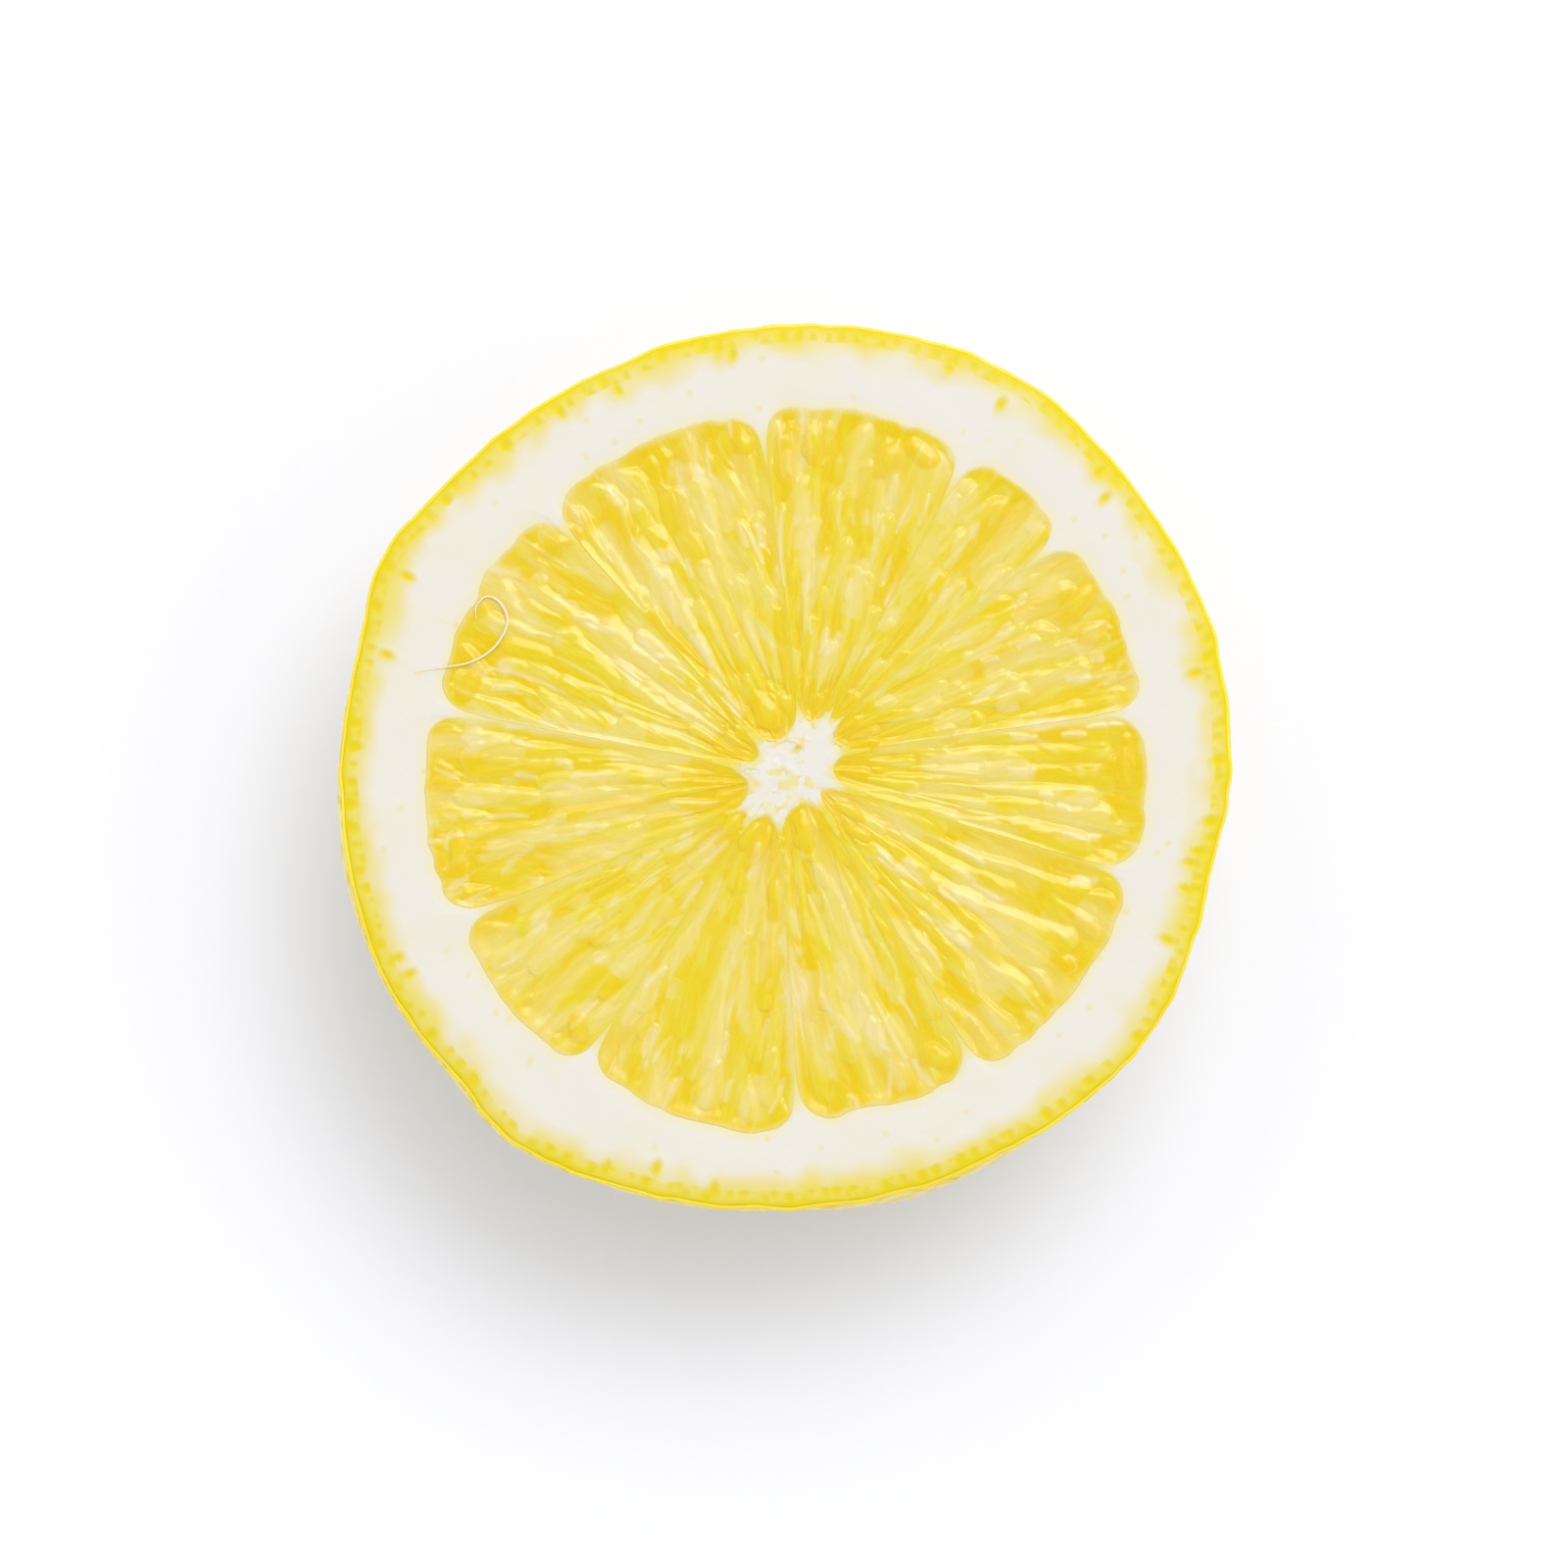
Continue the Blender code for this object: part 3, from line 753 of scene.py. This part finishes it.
def make_wedge(i):
    """One wedge: a grid from tip to pith. Its height is the lower of the domes and the knife, by a
    soft minimum, plus streaks, facets and strokes, and it rolls down to the plate at the border.
    Streaks are noise that is fine across the wedge and long along it."""
    t = np.linspace(-1, 1, WEDGE_COLUMNS)
    across = 0.6 * t + 0.4 * np.sin(np.pi / 2 * t)
    u = np.linspace(0, 1, WEDGE_RINGS)
    along = 0.9 * u + 0.05 * (1 - np.cos(np.pi * u))
    across, along = np.meshgrid(across, along)
    inner, outer = wedge_ends(i, across)
    radius = inner + (outer - inner) * along
    low, high, half = wedge_sides(i, radius)
    degrees = low + (high - low) * (across + 1) / 2
    x, y = polar(radius, degrees)
    aside = across * half
    warp = 0.25 * cloud(x, y, 2.6, 60)
    bent = aside + warp
    domes, crease, tone = pack_sacs(i, radius, across + 0.06 * cloud(x, y, 3.0, 64), half)
    knife = 0.02 * cloud(x, y, 5.0, 61)
    z = knife - KNIFE_SMOOTH * np.log1p(np.exp((knife - domes) / KNIFE_SMOOTH))
    streak = cloud(bent / 0.42, radius / 3.6, 1.0, 66 + i)
    fine = cloud(bent / 0.2, radius / 1.9, 1.0, 90 + i)
    z = z + 0.010 * streak + 0.004 * fine
    wide = shards(i, aside + 2 * warp, radius + 3 * warp, *WIDE_FACETS)
    small = shards(i, bent, radius - 2 * warp, *SMALL_FACETS)
    (wide_plane, wide_number, wide_clear), (small_plane, small_number, small_clear) = wide, small
    lively = 0.25 + 0.75 * ease(cloud(x, y, 3.3, 68), -0.35, 0.45)
    z = z + 0.07 * wide_plane + 0.03 * lively * small_plane
    broken = ease(cloud(bent / 0.8, radius / 2.4, 1.0, 110 + i), -0.35, 0.35)
    kinds = (LINES_AND_GLINTS, SHREDS_AND_GLINTS, PATCHES)
    line, shred_and_glint, patch = (strokes(i, radius, bent, half, *kind) for kind in kinds)
    # Painted highlight: the palest facets are coloured pale as if they caught the light
    painted_glint = wide_clear * ease(wide_number, 0.8, 0.95) * (0.6 + 0.4 * ease(small_number, 0.2, 0.6))
    painted_glint = np.maximum(painted_glint, 0.9 * small_clear * ease(small_number, 0.86, 0.96))
    # Skins along the creases and lines: real sac skins, partly painted highlight
    skin_and_glint = lively * np.maximum(0.5 * hill(crease, 0.014) * broken, line)
    wobble = 0.3 * cloud(x, y, 0.8, 201)
    bulb = ovals(x, y, BULBS) + wobble
    # Painted highlight: the wet spots get a pale gleam, and they also rise a little
    painted_gleam_spot = 1 - ease(ovals(x, y, PAINTED_GLEAM_SPOTS) + 1.2 * wobble, 0.35, 1.1)
    swollen = 1 - ease(bulb, 0.75, 1.1)
    z = z * (1 - swollen) + swollen * (0.05 - 0.13 * bulb * bulb)
    z = z + 0.025 * line + 0.035 * shred_and_glint + 0.03 * painted_gleam_spot
    from_side = (1 - np.abs(across)) * half
    from_end, from_tip = outer - radius, radius - inner
    roll = 1 - ease(np.minimum(np.minimum(from_side / 0.6, from_end / 1.4), from_tip / 0.7))
    z = z * (1 - roll) + PLATE_LEVEL * roll
    fuzz = 0.5 + 0.5 * cloud(aside, radius / 1.3, 1.0, 190 + i)
    beside_wall = 1 - ease(from_side, 0.05, 0.2 + 0.7 * fuzz)
    edge = beside_wall * wall_clearness(radius, degrees)[0] * (0.6 + 0.6 * fuzz)
    edge = np.maximum(edge, (0.55 + 0.45 * fuzz) * (1 - ease(from_end, 0.0, 0.2 + 0.45 * fuzz)))
    edge = np.maximum(edge, (0.35 + 0.45 * fuzz) * (1 - ease(from_tip, 0.05, 0.3)))
    deep_end = 1 - ease(radius - WALLS[i][3], 0.8, 5.0)
    tone = tone + 0.13 * streak + 0.08 * fine - 0.62 * deep_end
    tone = tone + 0.34 * wide_clear * (wide_number - 0.5)
    tone = tone + 0.24 * lively * small_clear * (small_number - 0.5)
    heart = 0.42 * (1 - ease(bulb, 0.1, 0.65))
    tone = tone * (1 - swollen) + swollen * (heart + 0.08 * streak)
    patch = np.clip(patch * (1 - 0.6 * deep_end) * (1 - 0.8 * swollen), 0, 1)
    # Torn shreds of sac skin, with the painted glints and gleams: partly real skin, partly painted
    # highlight
    shred_and_glint = np.maximum(shred_and_glint, 0.6 * lively * painted_glint * (1 - deep_end)) * (1 - 0.5 * swollen)
    shred_and_glint = np.maximum(shred_and_glint, 0.9 * painted_gleam_spot)
    values = dict(tone=np.clip(tone, 0, 1), skin_and_glint=skin_and_glint, edge=edge, shred_and_glint=shred_and_glint, patch=patch)
    lie = np.stack([bent, radius], axis=-1).reshape(-1, 2)
    return skirted_sheet(f"wedge_{i + 1:02d}", x, y, z, WEDGE_FLOOR, values, lie)


wedges = [make_wedge(i) for i in range(len(WALLS))]

# %% [markdown]
# ## Loose strand
# Cutting leaves a loose fibre: one long pale strand of pith that curls over the edge of a wedge. It
# is a thin tube round a smooth path, thickest in the middle of its length and closed at both ends,
# and it lies close to the flesh, as a wet fibre does.

# %% Strand of pith
STRAND_PATH = [(-25.4, 6.7, 0.03), (-23.6, 7.0, 0.08), (-21.7, 7.35, 0.16), (-20.3, 8.1, 0.22)]
STRAND_PATH += [(-19.4, 9.2, 0.26), (-19.1, 10.3, 0.26), (-19.6, 11.4, 0.22), (-20.5, 11.8, 0.16)]
STRAND_PATH += [(-21.2, 11.1, 0.1), (-21.2, 10.2, 0.06)]
TUBE_SIDES = 8


def smooth_path(knots, count):
    """Points on a smooth curve through the knots: a cubic between each two, with the slope at a
    knot taken from its neighbours."""
    knots = np.array(knots, float)
    padded = np.concatenate([2 * knots[:1] - knots[1:2], knots, 2 * knots[-1:] - knots[-2:-1]])
    s = np.linspace(0, len(knots) - 1, count)
    i = np.minimum(s.astype(int), len(knots) - 2)
    t = (s - i)[:, None]
    a, b, c, d = padded[i], padded[i + 1], padded[i + 2], padded[i + 3]
    square, cube = (2 * a - 5 * b + 4 * c - d) * t**2, (3 * b - a - 3 * c + d) * t**3
    return 0.5 * (2 * b + (c - a) * t + square + cube)


def make_strand(path, thickness, flatten):
    """A tube round a path, closed by fans. Its radius is the thickness times the square root of
    4s(1-s), with s the share of the length, and the height of each ring is flattened."""
    ahead = np.gradient(path, axis=0)
    ahead /= np.linalg.norm(ahead, axis=1, keepdims=True)
    aside = np.cross(ahead, [0.0, 0.0, 1.0])
    aside /= np.linalg.norm(aside, axis=1, keepdims=True)
    over = np.cross(aside, ahead)
    s = np.linspace(0.01, 0.99, len(path))
    radius = (thickness * np.sqrt(4 * s * (1 - s)))[:, None, None]
    angle = np.linspace(0, 2 * np.pi, TUBE_SIDES, endpoint=False)[None, :, None]
    ring = np.cos(angle) * aside[:, None, :] + flatten * np.sin(angle) * over[:, None, :]
    body = path[:, None, :] + radius * ring
    ends = [body[0].mean(0, keepdims=True), body[-1].mean(0, keepdims=True)]
    points = np.concatenate([body.reshape(-1, 3), *ends]) + [CORE[0], CORE[1], TOP]
    sides = grid_quads(len(body), TUBE_SIDES, True)
    return make_piece("pith_strand", points, sides, end_fans(len(body), TUBE_SIDES), {})


strand = make_strand(smooth_path(STRAND_PATH, 120), 0.09, 0.7)

# %% [markdown]
# ## Materials
# Colours are given as seen on a screen and turned into the linear values that a shader needs. Each
# finish scatters a little light under its surface. The reach of that light is kept to a few tenths
# of a millimetre, because the pieces are thin and lie against each other, and light that leaked
# from one into the next would darken the line between them. The nodes are added by short helpers,
# because a finish is then a few lines that can be read like a recipe.

# %% Material helpers


def screen(r, g, b):
    """Linear colour of a screen colour from 0 to 255."""
    c = np.array([r, g, b]) / 255.0
    linear = np.where(c <= 0.04045, c / 12.92, ((c + 0.055) / 1.055) ** 2.4)
    return (*linear.tolist(), 1.0)


class Finish:
    """A material or a world whose nodes are added one by one, with their inputs given by name."""

    def __init__(self, name, kind=bpy.data.materials, shader="Principled BSDF"):
        self.block = kind.new(name)
        self.block.use_nodes = True
        self.tree = self.block.node_tree
        self.shader = self.tree.nodes[shader]

    def node(self, kind, out=0, options=(), **inputs):
        """Adds a node, sets its options, links or sets its inputs, and returns an output of it."""
        made = self.tree.nodes.new(kind)
        for option, value in dict(options).items():
            setattr(made, option, value)
        for label, value in inputs.items():
            self.feed(made, label.replace("_", " "), value)
        return made.outputs[out]

    def feed(self, made, label, value):
        """Links an output to an input, or sets the input's own value. i0, i1 and so on are numbers
        of inputs, for nodes that have several of one name."""
        numbered = label[0] == "i" and label[1:].isdigit()
        socket = made.inputs[int(label[1:]) if numbered else label]
        if isinstance(value, bpy.types.NodeSocket):
            self.tree.links.new(value, socket)
        else:
            socket.default_value = value

    def value(self, name):
        """A named value that the mesh carries."""
        return self.node("ShaderNodeAttribute", 2, {"attribute_name": name})

    def place(self):
        """A point's place in the object's own coordinates."""
        return self.node("ShaderNodeTexCoord", 3)

    def noise(self, scale, detail, rough=0.5):
        """Noise in the object's own coordinates; scale is in waves per metre."""
        kind, place = "ShaderNodeTexNoise", self.place()
        return self.node(kind, Vector=place, Scale=scale, Detail=detail, Roughness=rough)

    def blend(self, factor, first, second):
        """A mix of two colours."""
        return self.node("ShaderNodeMix", 2, {"data_type": "RGBA"}, i0=factor, i6=first, i7=second)

    def band(self, value, low, high, to_low=0.0, to_high=1.0):
        """A value stretched from low..high to to_low..to_high and held there."""
        limits = {"i1": low, "i2": high, "i3": to_low, "i4": to_high}
        return self.node("ShaderNodeMapRange", 0, {"clamp": True}, i0=value, **limits)

    def maths(self, action, first, second):
        """One sum on two values."""
        return self.node("ShaderNodeMath", 0, {"operation": action}, i0=first, i1=second)

    def layers(self, colour, coats):
        """Coats of colour over a colour, each as thick as a value of the mesh times a factor."""
        for name, factor, coat in coats:
            thickness = self.maths("MULTIPLY", self.value(name), factor)
            colour = self.blend(thickness, colour, coat)
        return colour

    def bump(self, height, distance, strength):
        """A bump from a height; distance is in metres."""
        return self.node("ShaderNodeBump", 0, Height=height, Distance=distance, Strength=strength)

    def finish(self, pieces=(), **inputs):
        """Feeds the shader and dresses the pieces."""
        for label, value in inputs.items():
            self.feed(self.shader, label.replace("_", " "), value)
        for piece in pieces:
            piece.data.materials.append(self.block)
        print(f"{self.block.name}: {len(self.tree.nodes)} nodes")


# %% [markdown]
# ## Finish of the peel
# Wax is satin over a skin that lets a little light in. One flat colour would look like plastic, so
# two yellows drift into each other, and a darker yellow is painted into the pits as shade.

# %% Peel finish
PEEL_BRIGHT = screen(246, 224, 20)
PEEL_DEEP = screen(243, 213, 8)
# Darker yellow painted into the pits of the pores as shade
PEEL_PIT_SHADE = screen(236, 200, 0)

waxy = Finish("waxy_peel")
patch = waxy.noise(160.0, 3.0)
grain = waxy.noise(5200.0, 2.0)
colour = waxy.blend(waxy.band(patch, 0.35, 0.7), PEEL_BRIGHT, PEEL_DEEP)
waxy.finish(
    [peel],
    Base_Color=waxy.layers(colour, [("pit_shade", 0.4, PEEL_PIT_SHADE)]),
    Roughness=waxy.band(patch, 0.3, 0.7, 0.28, 0.38),
    Normal=waxy.bump(grain, 0.00004, 0.6),
    Subsurface_Weight=0.2,
    Subsurface_Radius=(1.0, 0.7, 0.1),
    Subsurface_Scale=0.0003,
    Coat_Weight=0.35,
    Coat_Roughness=0.18,
)

# %% [markdown]
# ## Finish of the pith
# Pith is dry and chalky, with the yellow of the skin soaked into it from the rim. The shape knows
# where glands, rim and walls lie, so the colours are coats laid over each other, each as thick as a
# value that the mesh carries. That keeps every colour on the feature that it belongs to.

# %% Pith finish
JUICE = screen(224, 204, 36)
PITH_WHITE = screen(223, 219, 211)
PITH_CREAM = screen(223, 217, 191)
WALL_PALE = screen(228, 212, 140)
HALO = screen(230, 219, 156)
ZEST_PALE = screen(225, 208, 92)
ZEST_YELLOW = screen(223, 203, 0)

# How light spreads in anything spongy. The scale is in metres, and the radius is red, green and
# blue as shares of it.
SPONGE_LIGHT = {
    "Subsurface_Weight": 0.15,
    "Subsurface_Radius": (1.0, 0.9, 0.6),
    "Subsurface_Scale": 0.00015,
}

spongy = Finish("spongy_pith")
mottle = spongy.noise(900.0, 4.0, 0.6)
broad = spongy.noise(220.0, 2.0)
colour = spongy.blend(spongy.band(broad, 0.4, 0.75, 0.0, 0.5), PITH_WHITE, PITH_CREAM)
dry_wall = spongy.blend(spongy.value("clear"), JUICE, WALL_PALE)
coats = [("near_flesh", 0.6, HALO), ("wall", 1.0, dry_wall), ("speck", 0.5, ZEST_PALE)]
coats += [("yellow", 1.0, ZEST_PALE), ("gland", 1.0, ZEST_YELLOW)]
spongy.finish(
    [pith],
    Base_Color=spongy.layers(colour, coats),
    Roughness=spongy.band(spongy.value("gland"), 0.0, 1.0, 0.62, 0.3),
    Normal=spongy.bump(mottle, 0.00005, 0.5),
    **SPONGE_LIGHT,
    Specular_IOR_Level=0.2,
)

# %% [markdown]
# ## Finish of the core
# The core is the same white, but it has soaked up juice in places. The stains are coats again, and
# a bump finer than the mesh keeps the sponge from looking smooth.

# %% Core finish
CORE_STAIN = screen(222, 210, 110)
CORE_SPECK = screen(216, 178, 30)

sponge = Finish("torn_core")
mottle = sponge.noise(2400.0, 4.0, 0.6)
coats = [("stain", 0.78, CORE_STAIN), ("near_flesh", 0.6, CORE_STAIN), ("smear", 0.8, ZEST_PALE)]
coats += [("speck", 1.0, CORE_SPECK), ("past", 0.9, JUICE)]
sponge.finish(
    [core],
    Base_Color=sponge.layers(PITH_WHITE, coats),
    Roughness=0.5,
    Normal=sponge.bump(mottle, 0.00008, 0.5),
    **SPONGE_LIGHT,
)

# %% [markdown]
# ## Finish of the flesh
# Juice is deep yellow where one looks far into it, and pale where skins lie over it. Clear sacs
# with real depth would need many bounces of light and would still look grainy. So each sac's tone
# stands for its depth, fibres follow the flat map of the wedge, and a clear coat gives the wetness.
# The pale cream of the skins, shreds and wet spots is partly painted highlight.

# %% Flesh finish
JUICE_DEEP = screen(226, 195, 0)
JUICE_PALE = screen(228, 210, 126)
# Pale cream of sac skins; on the flesh it is also the colour of the painted highlights
SAC_SKIN = screen(232, 219, 182)

juicy = Finish("juicy_flesh")
flat = juicy.node("ShaderNodeUVMap", 0, {"uv_map": "lie"})
along = juicy.node("ShaderNodeMapping", Vector=flat, Scale=(1.0, 0.24, 1.0))
fibres = juicy.node("ShaderNodeTexNoise", Vector=along, Scale=3.2, Detail=3.0, Roughness=0.55)
cloudy = juicy.node("ShaderNodeTexNoise", Vector=along, Scale=1.1, Detail=3.0, Roughness=0.5)
tone = juicy.maths("ADD", juicy.value("tone"), juicy.band(fibres, 0.25, 0.75, -0.14, 0.14))
colour = juicy.blend(juicy.band(tone, 0.05, 0.45), JUICE_DEEP, JUICE)
colour = juicy.blend(juicy.band(tone, 0.45, 1.0), colour, JUICE_PALE)
# The shred and skin coats are partly painted highlights
coats = [
    ("patch", juicy.band(cloudy, 0.35, 0.65, 0.5, 1.0), JUICE_PALE),
    ("edge", 0.8, WALL_PALE),
    ("shred_and_glint", juicy.band(fibres, 0.3, 0.62, 0.22, 0.7), SAC_SKIN),
    ("skin_and_glint", 0.6, SAC_SKIN),
]
juicy.finish(
    wedges,
    Base_Color=juicy.layers(colour, coats),
    Roughness=juicy.band(cloudy, 0.3, 0.7, 0.2, 0.34),
    Specular_IOR_Level=0.3,
    Normal=juicy.bump(fibres, 0.00003, 0.6),
    Subsurface_Weight=0.3,
    Subsurface_Radius=(1.0, 0.7, 0.15),
    Subsurface_Scale=0.00025,
    Coat_Weight=0.42,
    Coat_Roughness=0.08,
)

# %% [markdown]
# ## Finish of the strand
# A loose fibre is wet pith: off-white, a little uneven along its length, with a soft shine.

# %% Strand finish
STRAND_WHITE = screen(234, 222, 184)

silky = Finish("silky_strand")
grain = silky.noise(2600.0, 2.0)
colour = silky.blend(silky.band(grain, 0.35, 0.7), STRAND_WHITE, SAC_SKIN)
silky.finish(
    [strand],
    Base_Color=colour,
    Roughness=silky.band(grain, 0.3, 0.7, 0.25, 0.4),
    Normal=silky.bump(grain, 0.00002, 0.4),
    Coat_Weight=0.4,
    Coat_Roughness=0.1,
)

# %% [markdown]
# ## Floor
# The lemon stands on white. A yellow fruit throws yellow light on a white table, so near its foot
# the floor is a little cool, which evens that out. A cool lamp would colour the fruit as well.

# %% Floor
FLOOR_SIZE = 3.0
COOL_WHITE = (0.83, 0.858, 1.0, 1.0)
OPEN_WHITE, OPEN_WHITE_LIGHT = (0.895, 0.895, 0.9, 1.0), (0.905, 0.905, 0.91, 1.0)

# Between these distances from the fruit's foot, in metres, the cool floor gives way to the open one
COOL_END, OPEN_START = 0.034, 0.075

bpy.ops.mesh.primitive_plane_add(size=FLOOR_SIZE)
floor = bpy.context.object
floor.name = "floor"
plain = Finish("white_floor")
faint = plain.noise(6.0, 2.0)
away = plain.node("ShaderNodeVectorMath", 1, {"operation": "LENGTH"}, i0=plain.place())
open_floor = plain.blend(faint, OPEN_WHITE, OPEN_WHITE_LIGHT)
colour = plain.blend(plain.band(away, COOL_END, OPEN_START), COOL_WHITE, open_floor)
plain.finish([floor], Base_Color=colour, Roughness=0.8, Specular_IOR_Level=0.0)

# %% [markdown]
# ## Light
# A broad sun, almost overhead and a little to the upper right, throws the soft shadow to the lower
# left. It would put hard gleams on every wet sac, so it isn't reflected; a small softbox beside it
# gives the gleams instead, and it is much milder. The room is brighter on the window's side. It is
# dark straight overhead and in a band low down, where a flat wet face would otherwise mirror it as
# a white veil.

# %% Sun and softbox
LIGHT_AZIMUTH = math.radians(65.0)
KEY_TILT, KEY_WIDTH, KEY_STRENGTH = math.radians(16.0), math.radians(21.0), 0.62
key = into_scene("key_light", bpy.data.lights.new("key_light", "SUN"))
key.data.energy = KEY_STRENGTH
key.data.angle = KEY_WIDTH
key.rotation_euler = (0.0, KEY_TILT, LIGHT_AZIMUTH)
key.visible_glossy = False

SOFTBOX_TILT, SOFTBOX_DISTANCE = math.radians(20.0), 0.8
SOFTBOX_SIZE, SOFTBOX_STRENGTH = 0.3, 1.05
softbox = into_scene("softbox", bpy.data.lights.new("softbox", "AREA"))
softbox.data.shape = "DISK"
softbox.data.size = SOFTBOX_SIZE
softbox.data.energy = SOFTBOX_STRENGTH
reach = SOFTBOX_DISTANCE * math.sin(SOFTBOX_TILT)
over = SOFTBOX_DISTANCE * math.cos(SOFTBOX_TILT)
softbox.location = (reach * math.cos(LIGHT_AZIMUTH), reach * math.sin(LIGHT_AZIMUTH), over)
softbox.rotation_euler = (0.0, SOFTBOX_TILT, LIGHT_AZIMUTH)
print(f"sun {KEY_STRENGTH} and softbox {SOFTBOX_STRENGTH} W, both from the upper right")

# %% Room
ROOM_LIGHT = 1.24
WINDOW = (0.38, 0.82, 0.42)
FAR_SIDE, WINDOW_SIDE = 0.65, 1.25

# How bright the room is at each height over the table, as (sine of the height, share)
ROOM_LEVELS = [(0.0, 1.0), (0.19, 1.0), (0.27, 0.36), (0.46, 0.36), (0.57, 0.8)]
ROOM_LEVELS += [(0.92, 0.8), (0.985, 0.2)]
room = Finish("studio", bpy.data.worlds, "Background")
sight = room.node("ShaderNodeTexCoord")
height = room.node("ShaderNodeSeparateXYZ", 2, i0=sight)
levels = room.node("ShaderNodeValToRGB", i0=height)
ramp = levels.node.color_ramp
ramp.interpolation = "EASE"
for place, _ in ROOM_LEVELS[1:-1]:
    ramp.elements.new(place)
for stop, (place, share) in zip(ramp.elements, ROOM_LEVELS):
    stop.position = place
    stop.color = (share, share, share, 1.0)
facing = room.node("ShaderNodeVectorMath", 1, {"operation": "DOT_PRODUCT"}, i0=sight, i1=WINDOW)
light = room.band(facing, -1.0, 1.0, FAR_SIDE * ROOM_LIGHT, WINDOW_SIDE * ROOM_LIGHT)
room.finish(Color=levels, Strength=light)
bpy.context.scene.world = room.block

# %% [markdown]
# ## Camera
# The camera looks straight down from half a metre over the cut, so that the face keeps its true
# outline. Its lens follows from that height and from the width that the frame has to show. The
# Standard view shows a screen colour as it was given, where a film-like view would mute the yellow.

# %% Camera
CAMERA_HEIGHT = 500.0
FRAME_WIDTH = 105.3
AIM = (0.05, -0.89)

bpy.context.scene.view_settings.view_transform = "Standard"
camera = into_scene("camera", bpy.data.cameras.new("camera"))
camera.location = (AIM[0] * MM, AIM[1] * MM, (TOP + CAMERA_HEIGHT) * MM)
camera.data.lens = camera.data.sensor_width * CAMERA_HEIGHT / FRAME_WIDTH
bpy.context.scene.camera = camera
print(f"a {camera.data.lens:.0f} mm lens shows {FRAME_WIDTH:.0f} mm of the cut plane")
